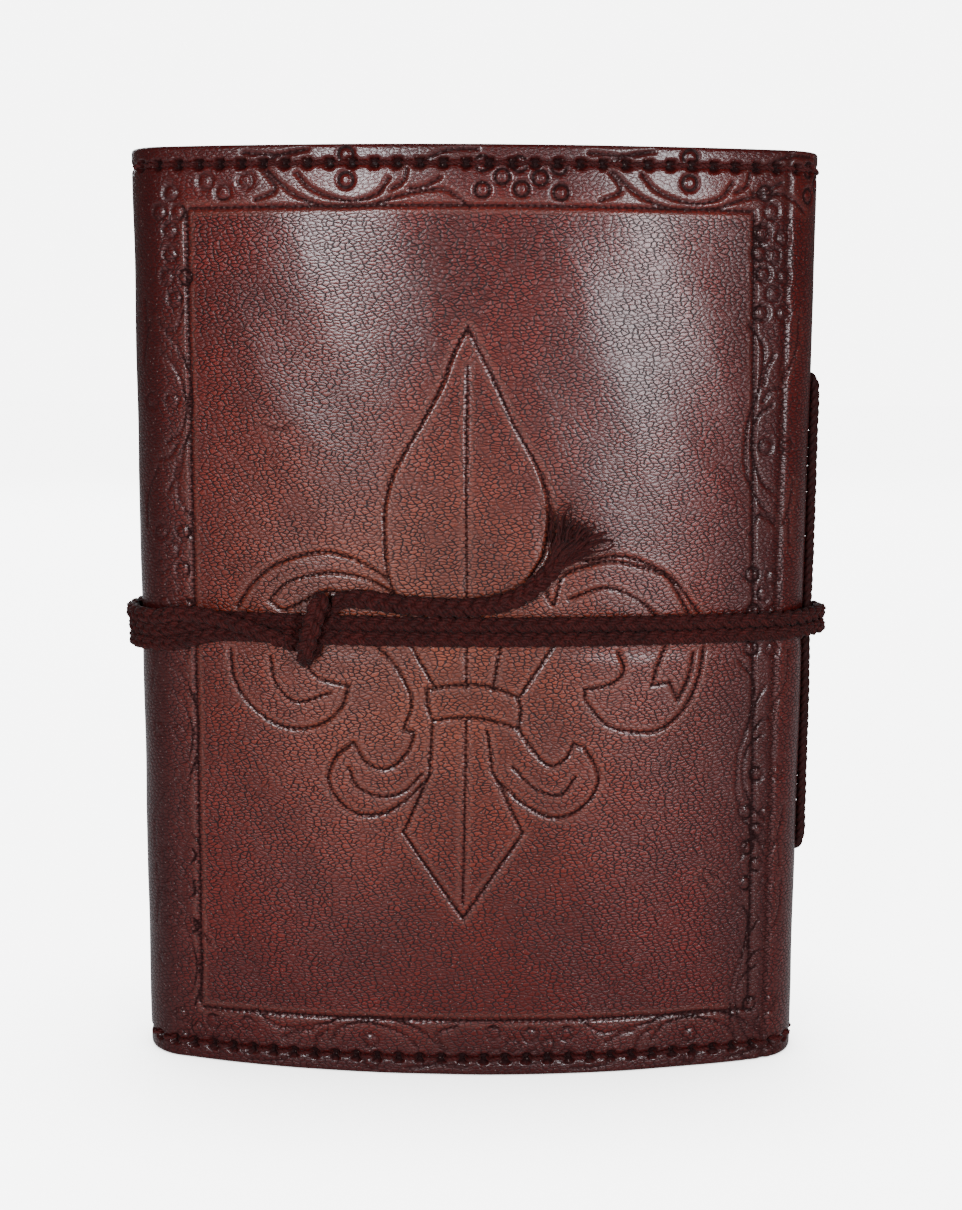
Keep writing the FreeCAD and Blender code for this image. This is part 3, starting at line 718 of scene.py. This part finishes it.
def hide_piece(name, side, first, last, step, emblem):
    """The hide from s first to an open seam at last, with its tooling, edges and stitch holes."""
    s_list, s_depth = edge_list(first, last, step, closed_last=False)
    z_list, z_depth = edge_list(0.0, HEIGHT, step)
    s, z = np.meshgrid(s_list, z_list)
    depth = np.maximum(*np.meshgrid(s_depth, z_depth))
    height, near, groove_shade_and_scuffs, rim = tooled_relief(s, z, emblem)
    if emblem:
        height += mounds(s, z)
    # Slow unevenness of a hand-worked hide.
    height += 0.10 * np.sin(s / 9.1 + 1.3 * np.sin(z / 17)) * np.cos(z / 11.7)
    height += 0.06 * np.sin(s / 3.7 + z / 5.3)
    # The bend beside the spine, and the dents under the tie cord.
    bend = np.exp(-(((s - SIDE_HALF - 0.8) / 0.8) ** 2))
    height -= 0.4 * bend
    # Painted shade in the bend.
    groove = 0.55 * bend
    for level in LEVELS:
        height -= 0.12 * np.exp(-(((z - level) / 1.6) ** 2))
    height = np.clip(height, LOWEST, HIGHEST)
    for level in STITCH_LEVELS:
        row = np.exp(-(((z - level) / ROW_HALF) ** 4))
        height = height * (1 - row) - ROW_DEPTH * row
        groove = groove * (1 - 0.7 * row)
        groove_shade_and_scuffs = groove_shade_and_scuffs * (1 - 0.7 * row)
        for place in STITCHES:
            # Half way between a square and a round hole.
            d = np.maximum(np.abs(s - place), np.abs(z - level)) * 0.5
            d = d + np.hypot(s - place, z - level) * 0.5
            hole = np.clip((STITCH_HOLE / 2 + HOLE_SLOPE - d) / HOLE_SLOPE, 0, 1)
            height = np.where(hole > 0, np.minimum(height, -HOLE_DEPTH * hole), height)
            # Painted shade in the stitch hole.
            groove = np.maximum(groove, hole)
    # The back's columns run the other way, so that its faces look outwards too.
    order = slice(None, None, 1 if side == FRONT else -1)
    obj = grid_object(name, to_world(*oval(s, height - depth, side), z)[:, order])
    skin = np.stack([s + (0 if side == FRONT else BACK_SKIN_OFFSET), z, depth * 2], -1)
    add_attribute(obj, "hide", skin[:, order].reshape(-1, 3))
    # Painted shade in grooves, holes and the bend, and along the tooled lines, and a painted
    # highlight on their lips.
    fields = {"groove": groove, "line": near, "groove_shade_and_scuffs": groove_shade_and_scuffs, "rim": rim, **worn_and_shaded(s, z, depth)}
    for attribute, values in fields.items():
        add_attribute(obj, attribute, values[:, order].reshape(-1))
    dress(obj, "leather")
    return obj


def sheet_piece(name, side, first, last, depth, thickness, inset=0.35, cols=130, rows=120):
    """A thin lining sheet: its inner face, with a rim that stands up to the leather."""
    s_list = np.concatenate([[first], np.linspace(first, last, cols), [last]])
    top = HEIGHT - inset
    z_list = np.concatenate([[inset], np.linspace(inset, top, rows), [top]])
    s, z = np.meshgrid(s_list, z_list)
    on_rim = np.ones(s.shape, bool)
    on_rim[1:-1, 1:-1] = False
    out = np.where(on_rim, -depth, -depth - thickness)
    points = to_world(*oval(s, out, side), z)
    obj = grid_object(name, points[:, ::-1] if side == FRONT else points)
    dress(obj, "lining")
    return obj


def hinge_blend(obj, side, spine_side=4.0, cover_side=6.0):
    """Bakes a sheet's placement into its mesh."""
    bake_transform(obj)


# The spacing of the hide's grid on the front and on the back, in millimetres.
FRONT_STEP, BACK_STEP = ((0.36, 0.55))
front_leather = hide_piece("front_leather_hide", FRONT, FORE_EDGE, SEAM, FRONT_STEP, True)
back_leather = hide_piece("back_leather_hide", BACK, FORE_EDGE, SEAM_FROM_BACK, BACK_STEP, False)
hinge_blend(front_leather, FRONT)
hinge_blend(back_leather, BACK)
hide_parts("front_cover_leather", "spine_leather")
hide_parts("back_cover_leather")

# The two linings meet at the middle of the spine.
LINING_START = FORE_EDGE + 0.3
LINING_END = SIDE_HALF + ROUND_END
LINING_BAND = (3.0, 2.0)
front_lining, back_lining = (
    sheet_piece(name, side, LINING_START, LINING_END, LEATHER, WALL - LEATHER)
    for name, side in (("front_lining_sheet", FRONT), ("back_lining_sheet", BACK))
)
hinge_blend(front_lining, FRONT, *LINING_BAND)
hinge_blend(back_lining, BACK, *LINING_BAND)
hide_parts("front_cover_lining", "spine_lining")
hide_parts("back_cover_lining")

for cad_name, cad_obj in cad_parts.items():
    if cad_name.startswith("section_thread"):
        dress(cad_obj, "sewing_thread")
    elif cad_name == "binding_cord_knot":
        dress(cad_obj, "binding_cord")

# ---------------------------------------------------------------- leaves

SECTIONS = 6
FOLD_X = 58.0
FOLD_SPACING = 2.2
FOLD_WIDTH = 0.9
PAGE_SHOULDER_X = 45.0
PAGE_FORE_EDGE_X = -58.5
PAGE_INSET = 5.0
PAGE_DEPTH = WALL + 0.4
LEAVES = 12
SPREAD = 0.92
LEAF_THICKNESS = 0.42
FOLD_THICKNESS = 0.04


def side_depth(x):
    """Half the text block's thickness at x."""
    return np.sqrt((SIDE_RADIUS - PAGE_DEPTH) ** 2 - x * x) - SIDE_CENTRE


def section_leaves(index):
    """A section's folded leaves as one mesh: many thin curved sheets with ragged edges. The shares
    run across the text block, then narrow to the fold."""
    xs = np.concatenate([
        np.linspace(PAGE_FORE_EDGE_X, PAGE_SHOULDER_X, 34),
        np.linspace(PAGE_SHOULDER_X + 1.5, FOLD_X + 0.3, 8),
    ])
    zs = np.linspace(PAGE_INSET, HEIGHT - PAGE_INSET, 46)
    x, z = np.meshgrid(xs, zs)
    rows, cols = x.shape
    half = rows * cols
    to_fold = 1 - (x - PAGE_SHOULDER_X) / (FOLD_X - PAGE_SHOULDER_X)
    free = np.clip(to_fold, 0, 1) ** 2
    block = side_depth(np.minimum(x, PAGE_SHOULDER_X))
    sheet = np.where(x > PAGE_SHOULDER_X, LEAF_THICKNESS * to_fold + FOLD_THICKNESS, LEAF_THICKNESS)
    thick = sheet * block / side_depth(0) * 0.5
    fold_mid = ((SECTIONS - 1) / 2 - index) * FOLD_SPACING
    verts, faces = [], []
    for k in range(LEAVES):
        place = (k + 0.5) / LEAVES - 0.5
        share = 1 - 2 * (index + 0.5 + SPREAD * place) / SECTIONS
        rough_end = RNG.normal(0, 0.22, rows).cumsum() * 0.25
        rough_end -= rough_end.mean()
        rough_top = 0.35 + np.abs(RNG.normal(0, 0.12, cols))
        pull = RNG.uniform(0.0, 0.9)
        leaf_x, leaf_z = x.copy(), z.copy()
        leaf_x[:, 0] += np.maximum(pull + np.clip(rough_end, -0.5, 0.5) + 0.45, 0)
        leaf_z[0] += rough_top
        leaf_z[-1] -= rough_top
        ripple = 0.03 * np.sin(z / 13 + k + index * 2) * np.sin(x / 21 + k)
        level = free * share * block + (1 - free) * (fold_mid - place * FOLD_WIDTH) + ripple
        grid = 2 * half * k + np.arange(half).reshape(rows, cols)
        for sign in (1, -1):
            verts.append(np.stack([leaf_x, level + sign * thick, leaf_z], -1).reshape(-1, 3))
        a = grid[:-1, :-1].ravel()
        b = a + half
        rim = np.concatenate([grid[0], grid[1:, -1], grid[-1, -2::-1], grid[-2:0:-1, 0]])
        after = np.roll(rim, -1)
        faces.append(np.stack([a, a + cols, a + cols + 1, a + 1], -1))
        faces.append(np.stack([b, b + 1, b + cols + 1, b + cols], -1))
        faces.append(np.stack([rim, after, after + half, rim + half], -1))
    name = f"leaves_{index + 1}"
    obj = new_object(name, np.vstack(verts), np.vstack(faces), smooth_shaded=False)
    dress(obj, "paper")
    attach(obj, f"section_{index + 1}")
    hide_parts(f"page_section_{index + 1}")


for section in range(SECTIONS):
    section_leaves(section)

# ---------------------------------------------------------------- cords


def unit(vectors):
    return vectors / np.linalg.norm(vectors, axis=1)[:, None]


def frames_along(points):
    """Unit tangents and a steady pair of cross directions along a polyline."""
    t = unit(np.gradient(points, axis=0))
    n = np.cross(t[0], (0.3, 0.2, 0.93))
    normals = [n / np.linalg.norm(n)]
    for i in range(1, len(points)):
        n = normals[-1] - t[i] * normals[-1].dot(t[i])
        normals.append(n / np.linalg.norm(n))
    normals = np.array(normals)
    return t, normals, np.cross(t, normals)


def resample(points, step):
    """The polyline at even steps, and the distance along it at each."""
    lengths = np.linalg.norm(np.diff(points, axis=0), axis=1)
    lengths = np.concatenate([[0], lengths.cumsum()])
    even = np.linspace(0, lengths[-1], max(2, int(lengths[-1] / step)))
    return np.stack([np.interp(even, lengths, points[:, k]) for k in range(3)], -1), even


def around(turn, n, b):
    """The direction at an angle in the plane of n and b, at each point."""
    return np.cos(turn)[..., None] * n + np.sin(turn)[..., None] * b


def tubes(paths_and_radii, sides):
    """Verts and faces of round tubes along polylines; each radius may vary along its path."""
    verts, faces, base = [], [], 0
    ring = np.linspace(0, 2 * math.pi, sides, endpoint=False)
    for path, radius in paths_and_radii:
        _, n, b = frames_along(path)
        r = np.broadcast_to(radius, len(path))[:, None, None]
        loop = path[:, None] + r * around(ring[None], n[:, None], b[:, None])
        verts.append(loop.reshape(-1, 3))
        index = base + np.arange(len(path) * sides).reshape(len(path), sides)
        a, c = index[:-1], index[1:]
        faces.append(np.stack([a, np.roll(a, -1, 1), np.roll(c, -1, 1), c], -1).reshape(-1, 4))
        base += len(path) * sides
    return np.vstack(verts), np.vstack(faces)


def outward(path):
    """The direction out of the leather's oval at each point of a path."""
    x, y = path[:, 0], path[:, 1]
    on_end = np.abs(x) > SIDE_RADIUS * math.cos(TANGENT)
    out_x = np.where(on_end, x - np.sign(x) * END_CENTRE, x)
    out_y = np.where(on_end, y, y + np.sign(y) * SIDE_CENTRE)
    return unit(np.stack([out_x, out_y, x * 0], -1))


def plait(points, diameters, step=0.4, pitch=8.0, lay=4.2, yarns=4, sides=5):
    """A flat three-strand plait along a polyline on the journal, each strand a twist of yarns."""
    path, along = resample(points, step)
    share = np.linspace(0, 1, len(path))
    wide = np.interp(share, np.linspace(0, 1, len(diameters)), diameters)[:, None]
    t = unit(np.gradient(path, axis=0))
    n = unit(np.cross(outward(path), t))
    b = np.cross(t, n)
    pieces = []
    for k in range(3):
        phase = (2 * math.pi * (along / pitch + k / 3))[:, None]
        middle = path + np.sin(phase) * wide * 0.30 * n + np.sin(2 * phase) * wide * 0.17 * b
        _, mn, mb = frames_along(middle)
        strand = wide * 0.27
        yarn = strand * 0.56
        for y in range(yarns):
            twist = 2 * math.pi * (along / lay + y / yarns)
            pieces.append((middle + around(twist, mn, mb) * (strand - yarn * 0.8), yarn[:, 0]))
    return tubes(pieces, sides)


def yarn_twist(points, diameter, lay, step=0.3, plies=3, sides=6):
    """Twisted plies along a polyline."""
    path, along = resample(points, step)
    _, n, b = frames_along(path)
    ply = diameter * 0.285
    pieces = []
    for k in range(plies):
        turn = 2 * math.pi * (along / lay + k / plies)
        pieces.append((path + around(turn, n, b) * (diameter / 2 - ply), ply))
    return tubes(pieces, sides)


def stitch_row(name, side, last):
    """Twisted thread between the stitch holes of both rows up to last, dipping into each hole."""
    pieces = []
    for level in STITCH_LEVELS:
        for a, c in zip(STITCHES, STITCHES[1:]):
            if not FORE_EDGE <= (a + c) / 2 <= last:
                continue
            u = np.linspace(0, 1, 15)
            s = a + STITCH_HOLE / 2 + (c - a - STITCH_HOLE) * u
            x, y = oval(s, 0.05 - HOLE_DEPTH * np.abs(2 * u - 1) ** 4, side)
            lean = 0.12 * np.sin(a * 7.3)
            path = np.stack([x, y, level + lean * (2 * u - 1)], -1)
            _, n, b = frames_along(path)
            for k in range(2):
                turn = 2 * math.pi * (u * 1.3 + k / 2)
                pieces.append((path + around(turn, n, b) * 0.2, 0.3))
    obj = new_object(name, *tubes(pieces, 6))
    dress(obj, "stitching_thread")
    hinge_blend(obj, side)
    return obj


front_stitches = stitch_row("front_stitches", FRONT, SEAM)
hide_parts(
    "front_cover_stitching_top",
    "front_cover_stitching_bottom",
    "spine_stitching_top",
    "spine_stitching_bottom",
)
back_stitches = stitch_row("back_stitches", BACK, SEAM_FROM_BACK)
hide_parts("back_cover_stitching_top", "back_cover_stitching_bottom")

# Binding cord: out through the spine, down along it, and back in; pressed in by the tie cord.
BINDING = 2.2
INSIDE_X = 61.4
IN_WALL_X = 63.5
OUTSIDE_X = WIDTH / 2 - 0.1 + BINDING / 2
binding_route = [(INSIDE_X, 87.0), (INSIDE_X, 110), (INSIDE_X, 133.5), (INSIDE_X + 0.9, 135.6)]
binding_route += [(IN_WALL_X, 136.2), (OUTSIDE_X - 0.6, 135.4), (OUTSIDE_X, 133.0)]
for z in np.linspace(128, 48, 21):
    pressed = 0.25 * math.exp(-(((z - LEVELS[1]) / 8) ** 2))
    binding_route.append((OUTSIDE_X - pressed, z))
binding_route += [(OUTSIDE_X, 44.5), (OUTSIDE_X - 0.6, 42.1), (IN_WALL_X, 41.3)]
binding_route += [(INSIDE_X + 0.9, 41.9), (INSIDE_X, 44.0), (INSIDE_X, 62), (INSIDE_X, 81.0)]
binding_path = smooth([(x, 0, z) for x, z in binding_route])
binding = new_object("binding_cord_plies", *yarn_twist(binding_path, BINDING, lay=5.2))
dress(binding, "binding_cord")
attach(binding, "spine")
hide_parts("binding_cord")

# Tie cord: millimetres about the oval's middle.
TIE = 2.7
TAIL = 3.0
TAIL_SWELL = 1.12
TAIL_SHARE = 0.945
HITCH_SWELL = 1.3
OUT = 0.15 + TIE / 2
HITCH_X = -29.5
START_X = -20.0
ROUND_STEP = 3.0
# On the front as x, the distance out of the leather, and z: in front of the turns, down and under
# them, up behind, over the front, and up behind again.
HITCH_ROUTE = [(-56, 2.9, 90.6), (-50, 3.9, 90.6), (-44, 4.1, 89.4), (-39, 4.0, 87.8)]
HITCH_ROUTE += [(-35.8, 3.5, 86.6), (-33.0, 2.3, 85.6), (-30.6, 1.4, 85.6), (-29.3, 1.2, 88.0)]
HITCH_ROUTE += [(-28.8, 1.3, 91.0), (-28.2, 2.3, 94.3), (-28.0, 4.0, 94.0), (-28.8, 4.7, 91.2)]
HITCH_ROUTE += [(-29.9, 4.7, 87.2), (-30.8, 4.0, 84.0), (-30.9, 2.4, 82.7), (-29.8, 1.3, 84.4)]
HITCH_ROUTE += [(-28.2, 1.2, 88.4), (-26.4, 1.4, 92.0)]
TAIL_ROUTE = [(-24.2, 2.0, 94.2), (-20.5, 2.3, 94.5), (-13.5, 2.0, 93.6), (-6.0, 1.9, 93.1)]
TAIL_ROUTE += [(1.5, 1.9, 93.3), (8.0, 1.9, 94.8), (12.8, 2.0, 98.2), (16.2, 2.2, 102.4)]


def climb(s, low, high):
    """The level of a turn that climbs from low to high just after the fore-edge."""
    t = min(1, max(0, (s + 62) / 16))
    return low + (high - low) * (3 * t * t - 2 * t**3)


def tie_route():
    """The whole run: start on the back, round the fore-edge, two and a part turns, hitch, tail."""
    fore = SIDE_HALF + ROUND_END
    beside_spine = fore - 5.5
    reach = OUTSIDE_X + BINDING / 2 + OUT - 0.05
    pts = []
    for s in np.arange(along_face(START_X), -fore, -ROUND_STEP):
        pts.append(oval_point(s, OUT, LEVELS[0], BACK))
    for low, high in zip(LEVELS, LEVELS[1:]):
        for s in np.arange(-fore, beside_spine, ROUND_STEP):
            pts.append(oval_point(s, OUT, climb(s, low, high), FRONT))
        for y in (-2.6, -1.3, 0, 1.3, 2.6):
            pts.append((reach - 0.16 * y * y, y, high))
        for s in np.arange(beside_spine, -fore, -ROUND_STEP):
            pts.append(oval_point(s, OUT, high, BACK))
    for s in np.arange(-fore, -58, ROUND_STEP):
        pts.append(oval_point(s, OUT + 0.4, LEVELS[-1] - 0.2, FRONT))
    for x, out, z in HITCH_ROUTE + TAIL_ROUTE:
        pts.append(oval_point(along_face(x), out, z, FRONT))
    return smooth(pts, 0.6)


route = tie_route()
route_even, route_along = resample(route, 0.6)
# The cord swells where it crosses over itself in the hitch, and towards its loose end.
even, _ = resample(route, 0.5)
thick = np.full(len(even), TIE)
thick[int(TAIL_SHARE * len(even)) :] = TAIL * TAIL_SWELL
above_leather = np.hypot(even[:, 0], even[:, 1] - SIDE_CENTRE) - SIDE_RADIUS
in_hitch = (np.abs(even[:, 0] - HITCH_X) < 2.4) & (even[:, 2] > 84) & (even[:, 1] < 0)
thick[in_hitch & (above_leather > 3.2)] = TIE * HITCH_SWELL
thick = np.convolve(np.pad(thick, 5, "edge"), np.ones(11) / 11, "valid")
tie = new_object("tie_cord_plait", *plait(route, thick))
dress(tie, "tie_cord")

# The frayed end: loosened yarns, then fine fibres.
FRAY_YARNS = 30
FRAY_FIBRES = 50


def frayed_end():
    """The cord's loosened end: yarns that part and end in fine curled fibres."""
    base = route[-1]
    along = route[-1] - route[-8]
    along /= np.linalg.norm(along)
    side_dir = np.cross(along, (0, -1, 0))
    side_dir /= np.linalg.norm(side_dir)
    out_dir = np.cross(side_dir, along)
    pieces = []
    for k in range(FRAY_YARNS + FRAY_FIBRES):
        yarn = k < FRAY_YARNS
        spread = RNG.normal(0.05, 0.30 if yarn else 0.42)
        lift = RNG.uniform(-0.1, 0.35)
        length = RNG.uniform(6.5, 11.5) if yarn else RNG.uniform(6.0, 12.5)
        t = np.linspace(0, 1, 20)[:, None]
        phase, turns = RNG.uniform(0, 6.28), RNG.uniform(6, 15)
        curl = RNG.uniform(-2.4, 2.4)
        wave = 0.42 if yarn else 0.5
        p = base - along * 2.2 + (along + spread * side_dir) * t * length + out_dir * lift * t * 3.0
        p = p + side_dir * (curl * t**3 + wave * np.sin(turns * t + phase) * t)
        p = p + along * wave * np.cos(turns * t + phase) * t
        p = p + side_dir * RNG.normal(0, 0.8) + out_dir * RNG.normal(0.1, 0.35)
        thick_end = RNG.uniform(0.24, 0.4) if yarn else 0.11
        pieces.append((p, np.linspace(thick_end, thick_end * (0.75 if yarn else 0.4), 20)))
    obj = new_object("tie_cord_fray", *tubes(pieces, 5))
    dress(obj, "tie_cord")
    return obj


def start_knot():
    """A small overhand knot where the cord starts on the back."""
    x, y, z = oval_point(along_face(START_X + 3.3), 3.0, LEVELS[0] - 1.6, BACK)
    t = np.linspace(0.3, 2 * math.pi - 0.3, 60)
    r = 1.15 * (2 + np.cos(3 * t))
    loop = [x + r * np.cos(2 * t) * 0.62, y + 0.75 * np.sin(3 * t), z + r * np.sin(2 * t) * 0.45]
    obj = new_object("tie_cord_first_knot", *yarn_twist(np.stack(loop, -1), 2.0, lay=3.2))
    dress(obj, "tie_cord")
    return obj


fray = frayed_end()
knot = start_knot()
for piece in (tie, fray, knot):
    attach(piece, "tie_cord")
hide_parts("tie_cord_windings", "tie_cord_hitch", "tie_cord_tail")
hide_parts("tie_cord_frayed_end")
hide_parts("tie_cord_start_knot")

# ---------------------------------------------------------------- light and stage

# Brightness of the backdrop as the camera sees it, and of the room as it lights the journal.
BACKDROP = 6.6
ROOM = 0.14
FLOOR_REACH = 3000.0
corners = [(-1, -1), (1, -1), (1, 1), (-1, 1)]
floor = new_object(
    "floor",
    [(x * FLOOR_REACH, y * FLOOR_REACH, 0) for x, y in corners],
    np.array([(0, 1, 2, 3)]),
)
floor_mat = bpy.data.materials.new("floor")
ground = Tree(floor_mat)
floor_bsdf = ground.nodes["Principled BSDF"]
floor_bsdf.inputs["Base Color"].default_value = (0.9, 0.9, 0.9, 1)
floor_bsdf.inputs["Roughness"].default_value = 0.6
floor_bsdf.inputs["Emission Color"].default_value = (1, 1, 1, 1)
# The floor glows evenly for the camera; ambient occlusion darkens the glow into a painted contact
# shadow at the journal's foot.
contact_shadow = ground.add("ShaderNodeAmbientOcclusion", samples=8, in_Distance=0.05)
camera_ray = ground.add("ShaderNodeLightPath").outputs["Is Camera Ray"]
glow = ground.maths("MULTIPLY", camera_ray, contact_shadow.outputs["AO"])
glow = ground.maths("MULTIPLY", glow, BACKDROP - 0.3)
ground.feed(floor_bsdf.inputs["Emission Strength"], glow)
floor.data.materials.append(floor_mat)

world = bpy.data.worlds.new("world")
bpy.context.scene.world = world
sky = Tree(world)
background = sky.nodes["Background"]
background.inputs["Color"].default_value = (1, 1, 1, 1)
camera_ray = sky.add("ShaderNodeLightPath").outputs["Is Camera Ray"]
strength = sky.maths("MULTIPLY_ADD", camera_ray, BACKDROP - ROOM, ROOM)
sky.feed(background.inputs["Strength"], strength)


def area_light(name, place, size, power):
    """A soft light at a place about the journal's foot, aimed at its middle."""
    data = bpy.data.lights.new(name, "AREA")
    data.shape = "RECTANGLE"
    data.size, data.size_y = size
    data.energy = power
    data.color = (0.93, 0.96, 1.0)
    obj = bpy.data.objects.new(name, data)
    foot = Vector((CENTRE_X, 0, BOTTOM))
    obj.location = foot + Vector(place)
    aim = foot + Vector((0, 0, 0.12)) - obj.location
    obj.rotation_euler = aim.to_track_quat("-Z", "Y").to_euler()
    bpy.context.scene.collection.objects.link(obj)


area_light("left_window", (-0.33, -0.95, 0.28), (0.14, 0.14), 7.4)
area_light("back_fill", (-0.2, 1.1, 0.7), (1.2, 0.8), 12.0)
area_light("right_window", (0.46, -0.95, 0.21), (0.15, 0.28), 7.8)
